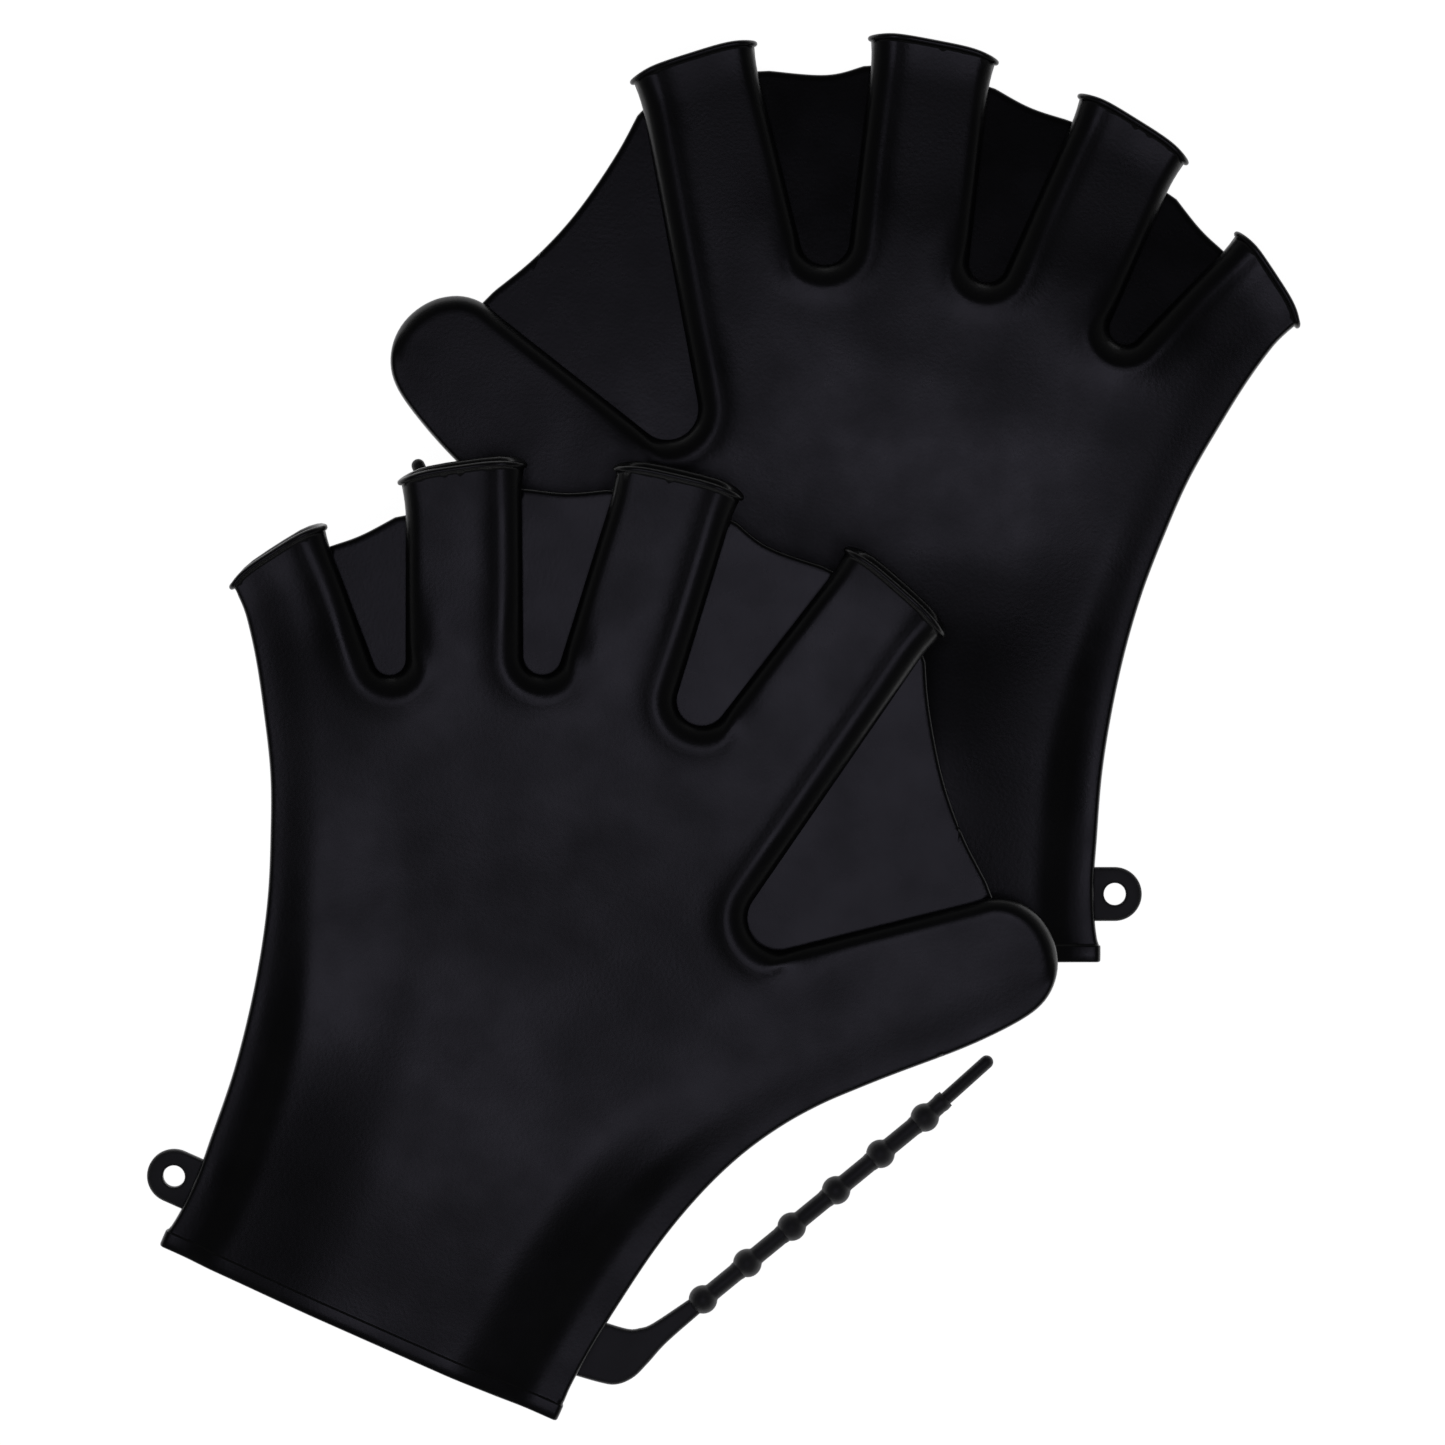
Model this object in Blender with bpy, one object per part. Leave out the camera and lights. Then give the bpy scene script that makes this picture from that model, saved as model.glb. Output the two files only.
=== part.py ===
"""A pair of webbed silicone hand gloves: hollow palms, open finger sleeves, flat webs, beaded wrist straps."""

import math

import bmesh
import bpy
from mathutils import Matrix, Vector
from mathutils.geometry import delaunay_2d_cdt

for leftover in list(bpy.data.objects):
    bpy.data.objects.remove(leftover, do_unlink=True)

NAME = "webbed_hand_gloves"
MM = 0.001

# One glove is drawn flat, in millimetres: u runs toward the thumb, v from the cuff to the fingertips,
# w upward from the parting plane. The other glove is its mirror image.
WALL = 1.6
GAP = 0.3
SKIRT = 7.0          # half thickness below the parting plane, flat where the glove lies on its face
SHOULDER = 5.5       # width of the rounded shoulder along every edge
BEAD = 1.1           # how far the rolled rims stand out
BEAD_DEPTH = 2.6
PAST = 12.0          # the forms run past the openings by this much before being cut off
WEB = 0.9            # half thickness of the webs

CUFF_HALF = 53.4
ULNAR = [
    (-52.6, 17.5), (-53.4, 31.0), (-54.7, 47.0), (-57.1, 62.3), (-60.4, 77.4),
    (-64.7, 92.1), (-70.1, 106.2), (-76.2, 120.1), (-83.7, 133.3), (-91.8, 146.2),
]
RADIAL = [
    (107.4, 125.9), (97.1, 115.7), (89.6, 108.0), (82.1, 99.8), (75.3, 90.6),
    (69.1, 79.6), (63.9, 66.5), (59.7, 51.2), (56.6, 33.4), (54.6, 18.0),
]
THUMB_TIP = [
    (100.3, 164.8), (105.3, 166.4), (110.4, 166.0), (114.6, 164.3), (118.2, 161.6), (120.9, 158.2),
    (122.6, 154.2), (123.1, 149.6), (122.2, 145.2), (119.6, 140.4), (114.2, 133.4),
]

# each finger: left side at the rim, right side at the rim, direction of the left and right side
FINGERS = {
    "little": ((-102.0, 160.0), (-88.2, 180.9), (-0.594, 0.804), (-0.703, 0.712)),
    "ring": ((-74.2, 199.9), (-49.6, 215.3), (-0.401, 0.916), (-0.415, 0.910)),
    "middle": ((-26.9, 224.3), (2.3, 229.9), (-0.109, 0.994), (-0.124, 0.992)),
    "index": ((32.9, 228.5), (61.2, 219.6), (0.239, 0.971), (0.188, 0.982)),
}
# each slot between two fingers: the corner its sides run to, the radius rounding it
SLOTS = {
    "little_ring": ((-48.1, 139.8), 4.0),
    "ring_middle": ((-18.1, 145.2), 4.7),
    "middle_index": ((12.5, 146.0), 6.2),
    "thumb": ((42.5, 119.3), 7.8),
}
# the hollow outer edge of each web, from its left finger to its right one
WEB_EDGES = {
    "little_ring": [(-85.4, 177.6), (-79.3, 183.4), (-72.3, 192.3)],
    "ring_middle": [(-47.6, 210.2), (-36.7, 213.8), (-26.5, 219.4)],
    "middle_index": [(3.2, 224.6), (14.2, 221.9), (31.3, 223.2)],
    "thumb": [(60.3, 213.8), (67.0, 201.4), (76.9, 187.1), (87.2, 176.0), (99.4, 166.0)],
}
THUMB_EDGE = (100.3, 164.8)

FOLD = ((-86.0, 137.7), (68.8, 179.0))        # the fingers fold along this line
THUMB_WAY = Vector((0.939, 0.345)).normalized()
THUMB_LINE = 144.6                            # and the thumb tip along the line this far along THUMB_WAY
FOLD_TOP = 8.1                                # both about axes just over the upper face
THUMB_TOP = 6.8
KNUCKLES = [(-99.0, 148.5), (-57.6, 156.2), (-24.0, 171.5), (17.1, 177.0), (60.0, 188.0)]

EYELET = (-57.9, 17.0)
EYELET_RADIUS = 2.65
LUG_RADIUS = 6.75
LUG_HALF = 1.5

TAB = [
    (54.4, 10.9), (60.2, 11.9), (64.6, 13.0), (67.5, 16.0), (69.4, 21.0), (71.2, 27.0), (75.0, 36.0),
    (71.4, 38.0), (66.2, 30.4), (64.0, 28.0), (60.8, 26.4), (55.7, 25.6),
]
TAB_ROOT = (54.8, 18.0)
TAB_HALF = 1.5

BEADS = 6
BEAD_RADIUS = 3.3
NECK_RADIUS = 2.0
TAIL_RADIUS = 1.45
FIRST_BEAD = Vector((75.5, 41.1))
LAST_BEAD = Vector((107.8, 105.2))
TAIL_TIP = Vector((117.0, 125.7))

# where each cuff's middle stands, which way the glove is turned, and how steeply it leans
LEFT = {"at": (40.63, -57.86), "turn": 0.0, "lean": 0.0, "flip": -1.0}
RIGHT = {"at": (-90.07, -149.36), "turn": -23.9, "lean": 7.0, "flip": 1.0}


def smooth(a, b, x):
    t = min(max((x - a) / (b - a), 0.0), 1.0)
    return t * t * (3.0 - 2.0 * t)


def crown(u, v):
    """Height of the upper face over the parting plane, away from the shoulders."""
    base = 5.0 + 1.5 * smooth(0.0, 45.0, v)
    return base + 4.0 * math.exp(-((u / 45.0) ** 2) - ((v - 96.0) / 62.0) ** 2)


def toward(point, way, length):
    return (point[0] + way[0] * length, point[1] + way[1] * length)


def fillet(before, corner, after, radius, steps):
    """Points of the arc that rounds a corner between two neighbouring points."""
    c = Vector(corner)
    a = (Vector(before) - c).normalized()
    b = (Vector(after) - c).normalized()
    half = a.angle(b) / 2.0
    centre = c + (a + b).normalized() * (radius / math.sin(half))
    start = c + a * (radius / math.tan(half)) - centre
    end = c + b * (radius / math.tan(half)) - centre
    swing = start.angle(end)
    side = 1.0 if start.x * end.y - start.y * end.x > 0.0 else -1.0
    points = []
    for i in range(steps + 1):
        t = side * swing * i / steps
        c_t, s_t = math.cos(t), math.sin(t)
        points.append((centre.x + start.x * c_t - start.y * s_t, centre.y + start.x * s_t + start.y * c_t))
    return points


def slot_points(name, left_top, right_top, steps=5):
    corner, radius = SLOTS[name]
    return fillet(left_top, corner, right_top, radius, steps)


def hand_outline():
    """The whole hand, clockwise from the cuff's little-finger corner, running past every opening."""
    names = list(FINGERS)
    points = [(-CUFF_HALF, -PAST), (-CUFF_HALF, 0.0)] + ULNAR
    for i, name in enumerate(names):
        left, right, left_way, right_way = FINGERS[name]
        points += [left, toward(left, left_way, PAST), toward(right, right_way, PAST), right]
        if i < 3:
            slot = ("little_ring", "ring_middle", "middle_index")[i]
            points += slot_points(slot, right, FINGERS[names[i + 1]][0])
    points += slot_points("thumb", FINGERS["index"][1], THUMB_EDGE)
    return points + THUMB_TIP + RADIAL + [(CUFF_HALF, 0.0), (CUFF_HALF, -PAST)]


def inset(points, depth):
    """The clockwise outline moved inward by depth (outward if negative)."""
    count = len(points)
    moved = []
    for i in range(count):
        p = Vector(points[i])
        a = (p - Vector(points[i - 1])).normalized()
        b = (Vector(points[(i + 1) % count]) - p).normalized()
        n_a = Vector((a.y, -a.x))
        n_b = Vector((b.y, -b.x))
        n = (n_a + n_b).normalized()
        moved.append(tuple(p + n * (depth / max(n.dot(n_a), 0.35))))
    return moved


def inside(points, u, v):
    hit = False
    for i in range(len(points)):
        (u0, v0), (u1, v1) = points[i - 1], points[i]
        if (v0 > v) != (v1 > v) and u < u0 + (v - v0) * (u1 - u0) / (v1 - v0):
            hit = not hit
    return hit


def clearance(points, u, v):
    near = 1e9
    p = Vector((u, v))
    for i in range(len(points)):
        a, b = Vector(points[i - 1]), Vector(points[i])
        t = min(max((p - a).dot(b - a) / (b - a).length_squared, 0.0), 1.0)
        near = min(near, (p - a.lerp(b, t)).length)
    return near


def form(outline, shoulder, rise, below):
    """A closed pillow over an outline: rounded shoulders, a crowned top raised by rise, a flat underside."""
    rings = [outline]
    for share in (0.1, 0.38, 1.0):
        rings.append(inset(outline, shoulder * share))
    heights = [math.sqrt(1.0 - (1.0 - share) ** 2) for share in (0.0, 0.1, 0.38, 1.0)]
    bm = bmesh.new()
    top, low = [], []
    for ring, height in zip(rings, heights):
        top.append([bm.verts.new((u, v, height * (crown(u, v) + rise))) for u, v in ring])
        if height:
            low.append([bm.verts.new((u, v, -height * below)) for u, v in ring])
        else:
            low.append(top[0])
    count = len(outline)
    for k in range(3):
        for i in range(count):
            j = (i + 1) % count
            a, b, c, d = top[k][i], top[k][j], top[k + 1][j], top[k + 1][i]
            bm.faces.new((a, c, b))
            bm.faces.new((a, d, c))
            a, b, c, d = low[k][i], low[k][j], low[k + 1][j], low[k + 1][i]
            bm.faces.new((a, b, c))
            bm.faces.new((a, c, d))
    inner = rings[3]
    grid = []
    for row in range(12):
        for column in range(15):
            u = -98.0 + 16.0 * column + 8.0 * (row % 2)
            v = 6.0 + 15.0 * row
            if inside(inner, u, v) and clearance(inner, u, v) > 5.0:
                grid.append(Vector((u, v)))
    flat = [Vector(p) for p in inner] + grid
    edges = [(i, (i + 1) % count) for i in range(count)]
    result = delaunay_2d_cdt(flat, edges, [], 1, 1e-5)
    points, faces = result[0], result[2]
    lids = []
    for p in points:
        old = [v for v in top[3] if abs(v.co.x - p.x) + abs(v.co.y - p.y) < 1e-3]
        lids.append(old[0] if old else bm.verts.new((p.x, p.y, crown(p.x, p.y) + rise)))
    for face in faces:
        bm.faces.new([lids[i] for i in face])
    bm.faces.new(list(reversed(low[3])))
    bmesh.ops.recalc_face_normals(bm, faces=bm.faces)
    mesh = bpy.data.meshes.new("form")
    bm.to_mesh(mesh)
    bm.free()
    return mesh


def prism(points, low, high):
    """An upright block over a polygon."""
    bm = bmesh.new()
    bottom = [bm.verts.new((u, v, low)) for u, v in points]
    top = [bm.verts.new((u, v, high)) for u, v in points]
    bm.faces.new(bottom)
    bm.faces.new(list(reversed(top)))
    for i in range(len(points)):
        j = (i + 1) % len(points)
        bm.faces.new((bottom[j], bottom[i], top[i], top[j]))
    bmesh.ops.recalc_face_normals(bm, faces=bm.faces)
    mesh = bpy.data.meshes.new("prism")
    bm.to_mesh(mesh)
    bm.free()
    return mesh


def lathe(profile, segments=10):
    """A solid of revolution about u from (distance along, radius) pairs that start and end at radius 0."""
    bm = bmesh.new()
    rows = []
    for along, radius in profile:
        if radius == 0.0:
            rows.append([bm.verts.new((along, 0.0, 0.0))])
            continue
        row = []
        for i in range(segments):
            angle = 2.0 * math.pi * i / segments
            row.append(bm.verts.new((along, radius * math.cos(angle), radius * math.sin(angle))))
        rows.append(row)
    for a, b in zip(rows, rows[1:]):
        for i in range(segments):
            j = (i + 1) % segments
            if len(a) == 1:
                bm.faces.new((a[0], b[i], b[j]))
            elif len(b) == 1:
                bm.faces.new((a[i], a[j], b[0]))
            else:
                bm.faces.new((a[i], a[j], b[j], b[i]))
    bmesh.ops.recalc_face_normals(bm, faces=bm.faces)
    mesh = bpy.data.meshes.new("lathe")
    bm.to_mesh(mesh)
    bm.free()
    return mesh


tools = bpy.data.collections.new("cutters")
bpy.context.scene.collection.children.link(tools)


def combine(mesh, steps):
    """The mesh after a run of exact Booleans, each (operation, other mesh)."""
    work = bpy.data.objects.new("work", mesh.copy())
    tools.objects.link(work)
    helpers = []
    for operation, other in steps:
        helper = bpy.data.objects.new("cutter", other)
        helper.hide_render = True
        helper.display_type = "WIRE"
        tools.objects.link(helper)
        helpers.append(helper)
        modifier = work.modifiers.new("shape", "BOOLEAN")
        modifier.operation = operation
        modifier.solver = "EXACT"
        modifier.object = helper
    bpy.context.view_layer.update()
    done = bpy.data.meshes.new_from_object(work.evaluated_get(bpy.context.evaluated_depsgraph_get()))
    for spent in helpers + [work]:
        bpy.data.objects.remove(spent, do_unlink=True)
    bm = bmesh.new()
    bm.from_mesh(done)
    bmesh.ops.remove_doubles(bm, verts=bm.verts, dist=1e-4)
    bmesh.ops.dissolve_degenerate(bm, edges=bm.edges, dist=1e-4)
    bmesh.ops.dissolve_limit(bm, angle_limit=math.radians(0.2), verts=bm.verts, edges=bm.edges)
    bmesh.ops.triangulate(bm, faces=bm.faces)
    bm.to_mesh(done)
    bm.free()
    return done


def clip(points, normal, limit):
    """The part of a polygon with p . normal <= limit."""
    n = Vector(normal)
    kept = []
    for i in range(len(points)):
        a, b = Vector(points[i - 1]), Vector(points[i])
        da, db = a.dot(n) - limit, b.dot(n) - limit
        if da * db < 0.0:
            kept.append(tuple(a.lerp(b, da / (da - db))))
        if db <= 0.0:
            kept.append(tuple(b))
    return kept


def fold_frame():
    a, b = Vector(FOLD[0]), Vector(FOLD[1])
    along = (b - a).normalized()
    across = Vector((-along.y, along.x))
    return along, across, a.dot(across)


def curve(points, steps):
    """A smooth line through the points (Catmull-Rom)."""
    line = []
    ends = [Vector(points[0]) * 2 - Vector(points[1])] + [Vector(p) for p in points]
    ends.append(Vector(points[-1]) * 2 - Vector(points[-2]))
    for i in range(1, len(ends) - 2):
        p0, p1, p2, p3 = ends[i - 1:i + 3]
        for k in range(steps):
            t = k / steps
            q = p1 * 2 + (p2 - p0) * t + (p0 * 2 - p1 * 5 + p2 * 4 - p3) * t * t
            q += (p1 * 3 - p0 - p2 * 3 + p3) * t ** 3
            line.append(tuple(q / 2))
    line.append(tuple(points[-1]))
    return line


def web_outline(name, gap):
    """The flat web in a slot, its edge hollow, a gap away from the fingers."""
    names = list(FINGERS)
    if name == "thumb":
        left, right = FINGERS["index"][1], THUMB_EDGE
    else:
        i = ("little_ring", "ring_middle", "middle_index").index(name)
        left, right = FINGERS[names[i]][1], FINGERS[names[i + 1]][0]
    corner, radius = SLOTS[name]
    c = Vector(corner)
    a = (Vector(left) - c).normalized()
    b = (Vector(right) - c).normalized()
    inner = c + (a + b).normalized() * (gap / math.sin(a.angle(b) / 2.0))
    arc = fillet(inner + a, inner, inner + b, radius - gap, 5)
    edge = curve(WEB_EDGES[name], 4)
    n_a = Vector((a.y, -a.x))
    n_b = Vector((-b.y, b.x))
    edge[0] = tuple(c + a * (Vector(edge[0]) - c).dot(a) + n_a * gap)
    edge[-1] = tuple(c + b * (Vector(edge[-1]) - c).dot(b) + n_b * gap)
    return arc + list(reversed(edge))


def glove_pieces():
    """Every moulded piece of one glove, flat, in its own (u, v, w) frame."""
    outline = hand_outline()
    outer = form(outline, SHOULDER, 0.0, SKIRT)
    hollow = form(inset(outline, WALL), SHOULDER - WALL, -WALL, SKIRT - WALL)
    rolled = form(inset(outline, -BEAD), SHOULDER + BEAD, BEAD, SKIRT - 0.1)
    along, across, fold = fold_frame()
    everything = [(-150.0, -40.0), (-150.0, 260.0), (150.0, 260.0), (150.0, -40.0)]
    pieces = {}

    palm = clip(clip(everything, across, fold - GAP / 2), THUMB_WAY, THUMB_LINE - GAP / 2)
    palm = clip(palm, (0.0, -1.0), 0.0)
    hem = [(-70.0, 0.0), (-70.0, 3.0), (70.0, 3.0), (70.0, 0.0)]
    cuff = combine(rolled, [("INTERSECT", prism(hem, -40.0, 40.0))])
    pieces["palm_shell"] = combine(
        outer, [("INTERSECT", prism(palm, -30.0, 30.0)), ("UNION", cuff), ("DIFFERENCE", hollow)]
    )

    lift = GAP / 2
    band = [(u, v - lift) for u, v in KNUCKLES]
    left_end = (-99.0, fold_height(-99.0) + lift)
    right_end = (74.0, fold_height(74.0) + lift)
    band_region = [left_end] + band + [(74.0, 191.0), right_end]
    pieces["knuckle_band"] = combine(
        outer, [("INTERSECT", prism(band_region, -30.0, 30.0)), ("DIFFERENCE", hollow)]
    )

    for i, name in enumerate(FINGERS):
        left, right = FINGERS[name][:2]
        way = (Vector(right) - Vector(left)).normalized()
        square = Vector((way.y, -way.x))
        far_left = Vector(left) - way * 3.0
        far_right = Vector(right) + way * 3.0
        base = [(u, v + lift) for u, v in KNUCKLES[i:i + 2]]
        region = [base[0], tuple(far_left), tuple(far_right), base[1]]
        rim = [
            tuple(far_left + square * BEAD_DEPTH), tuple(far_left),
            tuple(far_right), tuple(far_right + square * BEAD_DEPTH),
        ]
        bead = combine(rolled, [("INTERSECT", prism(rim, -40.0, 40.0))])
        pieces[f"{name}_sleeve"] = combine(
            outer, [("INTERSECT", prism(region, -30.0, 30.0)), ("UNION", bead), ("DIFFERENCE", hollow)]
        )

    beyond = (-THUMB_WAY.x, -THUMB_WAY.y)
    tip = clip(clip(everything, beyond, -THUMB_LINE - GAP / 2), (0.0, 1.0), 175.0)
    corner = clip(web_outline("thumb", -1.0), beyond, -THUMB_LINE - GAP / 2)
    pieces["thumb_pocket"] = combine(
        outer,
        [
            ("INTERSECT", prism(tip, -30.0, 30.0)),
            ("UNION", prism(corner, -WEB, WEB)),
            ("DIFFERENCE", hollow),
        ],
    )

    for name in ("little_ring", "ring_middle", "middle_index"):
        pieces[f"{name}_web"] = prism(web_outline(name, GAP), -WEB, WEB)
    thumb_web = clip(web_outline("thumb", GAP), THUMB_WAY, THUMB_LINE - GAP / 2)
    pieces["thumb_web_lower"] = prism(clip(thumb_web, across, fold - GAP / 2), -WEB, WEB)
    pieces["thumb_web_upper"] = prism(clip(thumb_web, -across, -fold - GAP / 2), -WEB, WEB)

    ring = [(-53.0 - GAP, 24.2)]
    for k in range(11):
        angle = math.radians(95.0 + 170.0 * k / 10.0)
        ring.append(toward(EYELET, (math.cos(angle), math.sin(angle)), LUG_RADIUS))
    ring.append((-53.0 - GAP, 9.6))
    eye = []
    for k in range(16):
        angle = 2.0 * math.pi * k / 16
        eye.append(toward(EYELET, (math.cos(angle), math.sin(angle)), EYELET_RADIUS))
    pieces["strap_lug"] = combine(prism(ring, -LUG_HALF, LUG_HALF), [("DIFFERENCE", prism(eye, -5.0, 5.0))])
    return pieces


def fold_height(u):
    (u0, v0), (u1, v1) = FOLD
    return v0 + (u - u0) * (v1 - v0) / (u1 - u0)


def placing(side):
    """Glove frame in millimetres to the world in metres."""
    lean = Matrix.Rotation(math.radians(side["lean"]), 4, "X")
    turn = Matrix.Rotation(math.radians(side["turn"]), 4, "Z")
    flip = Matrix.Diagonal((side["flip"], 1.0, 1.0, 1.0))
    at = Matrix.Translation((side["at"][0], side["at"][1], 0.0))
    return Matrix.Scale(MM, 4) @ at @ turn @ flip @ lean @ Matrix.Translation((0.0, 0.0, SKIRT))


def floor_placing(side):
    """The same, for what lies on the floor beside the glove: w is height above the floor."""
    turn = Matrix.Rotation(math.radians(side["turn"]), 4, "Z")
    flip = Matrix.Diagonal((side["flip"], 1.0, 1.0, 1.0))
    at = Matrix.Translation((side["at"][0], side["at"][1], 0.0))
    return Matrix.Scale(MM, 4) @ at @ turn @ flip


def strap_pieces(side):
    """The tab sloping down to the floor, the beaded links and the tail, with each one's pivot."""
    pieces = {}
    root = placing(side) @ Vector((TAB_ROOT[0], TAB_ROOT[1], 0.0))
    drop = root.z / MM - BEAD_RADIUS
    reach = FIRST_BEAD - Vector(TAB_ROOT)
    mesh = prism(TAB, -TAB_HALF, TAB_HALF)
    for vertex in mesh.vertices:
        share = (Vector(vertex.co[:2]) - Vector(TAB_ROOT)).dot(reach) / reach.length_squared
        vertex.co.z += BEAD_RADIUS + drop * (1.0 - share)
    pieces["strap_tab"] = (mesh, Matrix.Identity(4))

    pitch = (LAST_BEAD - FIRST_BEAD) / (BEADS - 1)
    spacing = pitch.length
    turn = Matrix.Rotation(math.atan2(pitch.y, pitch.x), 4, "Z")
    ball = []
    for k in range(7):
        angle = math.radians(180.0 - 142.7 * k / 6.0)
        ball.append((BEAD_RADIUS * math.cos(angle), abs(BEAD_RADIUS * math.sin(angle)) if k else 0.0))
    reach = spacing - BEAD_RADIUS - GAP
    for k in range(BEADS):
        at = FIRST_BEAD + pitch * k
        end = reach if k < BEADS - 1 else BEAD_RADIUS + 0.9
        profile = ball + [(end, NECK_RADIUS), (end, 0.0)]
        where = Matrix.Translation((at.x, at.y, BEAD_RADIUS)) @ turn
        pieces[f"strap_bead_{k + 1}"] = (lathe(profile), where)
    way = TAIL_TIP - LAST_BEAD
    start = BEAD_RADIUS + 0.9 + GAP
    length = way.length - start
    profile = [(start, 0.0), (start, TAIL_RADIUS + 0.2), (start + 3.0, TAIL_RADIUS)]
    profile += [(start + length - 1.2, TAIL_RADIUS), (start + length - 0.35, 1.0), (start + length, 0.0)]
    turn = Matrix.Rotation(math.atan2(way.y, way.x), 4, "Z")
    where = Matrix.Translation((LAST_BEAD.x, LAST_BEAD.y, BEAD_RADIUS)) @ turn
    pieces["strap_tail"] = (lathe(profile), where)
    return pieces


gloves = bpy.data.collections.new(NAME)
bpy.context.scene.collection.children.link(gloves)

TINTS = {
    "shell": (0.012, 0.013, 0.017),
    "sleeve": (0.014, 0.015, 0.019),
    "web": (0.018, 0.018, 0.022),
    "strap": (0.010, 0.011, 0.014),
}


def silicone(name, family):
    material = bpy.data.materials.new(name)
    material.use_nodes = True
    shader = material.node_tree.nodes["Principled BSDF"]
    shader.inputs["Base Color"].default_value = (*TINTS[family], 1.0)
    shader.inputs["Roughness"].default_value = 0.48
    material.diffuse_color = (*TINTS[family], 1.0)
    return material


def family_of(name):
    for word in ("sleeve", "web", "strap"):
        if word in name:
            return word
    return "shell"


def place(name, mesh, matrix, pivot):
    """A piece in the world with its own mesh, its origin at the pivot, its faces outward."""
    own = mesh.copy()
    own.name = name
    own.transform(Matrix.Translation(-pivot) @ matrix)
    if matrix.determinant() < 0.0:
        own.flip_normals()
    own.materials.clear()
    own.materials.append(silicone(name, family_of(name)))
    piece = bpy.data.objects.new(name, own)
    piece.location = pivot
    gloves.objects.link(piece)


def pivots(side):
    """Points on each joint's axis: the fold and the thumb line both run over the top of the glove."""
    middle = (Vector(FOLD[0]) + Vector(FOLD[1])) / 2.0
    thumb = Vector((101.0, 144.0))
    thumb += THUMB_WAY * (THUMB_LINE - thumb.dot(THUMB_WAY))
    to_world = placing(side)
    return {
        "fingers": to_world @ Vector((middle.x, middle.y, FOLD_TOP)),
        "thumb": to_world @ Vector((thumb.x, thumb.y, THUMB_TOP)),
        "palm": to_world @ Vector((0.0, 0.0, 0.0)),
    }


FINGER_BODY = (
    "knuckle_band", "little_sleeve", "ring_sleeve", "middle_sleeve", "index_sleeve",
    "little_ring_web", "ring_middle_web", "middle_index_web", "thumb_web_upper",
)

moulded = glove_pieces()
for hand, side in (("left", LEFT), ("right", RIGHT)):
    about = pivots(side)
    for name, mesh in moulded.items():
        body = "fingers" if name in FINGER_BODY else "thumb" if name == "thumb_pocket" else "palm"
        place(f"{hand}_{name}", mesh, placing(side), about[body])
    for name, (mesh, where) in strap_pieces(side).items():
        matrix = floor_placing(side) @ where
        pivot = about["palm"] if name == "strap_tab" else matrix @ Vector((0.0, 0.0, 0.0))
        place(f"{hand}_{name}", mesh, matrix, pivot)
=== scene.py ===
"""The looks of a pair of webbed silicone hand gloves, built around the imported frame."""

import math

import bmesh
import bpy
import numpy as np
from mathutils import Matrix, Vector
from mathutils.geometry import delaunay_2d_cdt


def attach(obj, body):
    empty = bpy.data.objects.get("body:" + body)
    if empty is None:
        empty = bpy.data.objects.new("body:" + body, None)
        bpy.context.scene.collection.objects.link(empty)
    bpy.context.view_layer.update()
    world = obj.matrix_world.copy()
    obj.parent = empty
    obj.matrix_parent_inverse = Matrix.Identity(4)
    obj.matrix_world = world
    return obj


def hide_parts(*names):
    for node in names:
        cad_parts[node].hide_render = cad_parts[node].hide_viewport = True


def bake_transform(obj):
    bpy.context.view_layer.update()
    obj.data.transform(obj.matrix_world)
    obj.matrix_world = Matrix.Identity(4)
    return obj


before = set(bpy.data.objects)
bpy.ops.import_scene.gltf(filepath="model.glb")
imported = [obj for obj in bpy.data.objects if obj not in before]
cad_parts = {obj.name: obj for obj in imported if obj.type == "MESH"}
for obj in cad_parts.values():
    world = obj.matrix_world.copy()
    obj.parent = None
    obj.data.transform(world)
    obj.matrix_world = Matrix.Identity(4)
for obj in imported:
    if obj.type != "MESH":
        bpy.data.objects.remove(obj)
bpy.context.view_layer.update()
MM = 0.001

# ---------------------------------------------------------------- the glove's shape, in millimetres
# u runs toward the thumb, v from the cuff to the fingertips, w upward from the parting plane.
# The outline, slots and webs repeat those that the frame was modelled from.
WALL = 1.6
SKIRT = 7.0                                   # height of the parting plane above the floor
CUFF_HALF = 53.4
PAST = 12.0                                   # how far the outline is carried on past each opening
ULNAR = [
    (-52.6, 17.5), (-53.4, 31.0), (-54.7, 47.0), (-57.1, 62.3), (-60.4, 77.4),
    (-64.7, 92.1), (-70.1, 106.2), (-76.2, 120.1), (-83.7, 133.3), (-91.8, 146.2),
]
RADIAL = [
    (107.4, 125.9), (97.1, 115.7), (89.6, 108.0), (82.1, 99.8), (75.3, 90.6),
    (69.1, 79.6), (63.9, 66.5), (59.7, 51.2), (56.6, 33.4), (54.6, 18.0),
]
THUMB_TIP = [
    (100.3, 164.8), (105.3, 166.4), (110.4, 166.0), (114.6, 164.3), (118.2, 161.6), (120.9, 158.2),
    (122.6, 154.2), (123.1, 149.6), (122.2, 145.2), (119.6, 140.4), (114.2, 133.4),
]
# each finger: left side at the rim, right side at the rim, direction of the left and right side
FINGERS = {
    "little": ((-102.0, 160.0), (-88.2, 180.9), (-0.594, 0.804), (-0.703, 0.712)),
    "ring": ((-74.2, 199.9), (-49.6, 215.3), (-0.401, 0.916), (-0.415, 0.910)),
    "middle": ((-26.9, 224.3), (2.3, 229.9), (-0.109, 0.994), (-0.124, 0.992)),
    "index": ((32.9, 228.5), (61.2, 219.6), (0.239, 0.971), (0.188, 0.982)),
}
NAMES = list(FINGERS)
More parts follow.
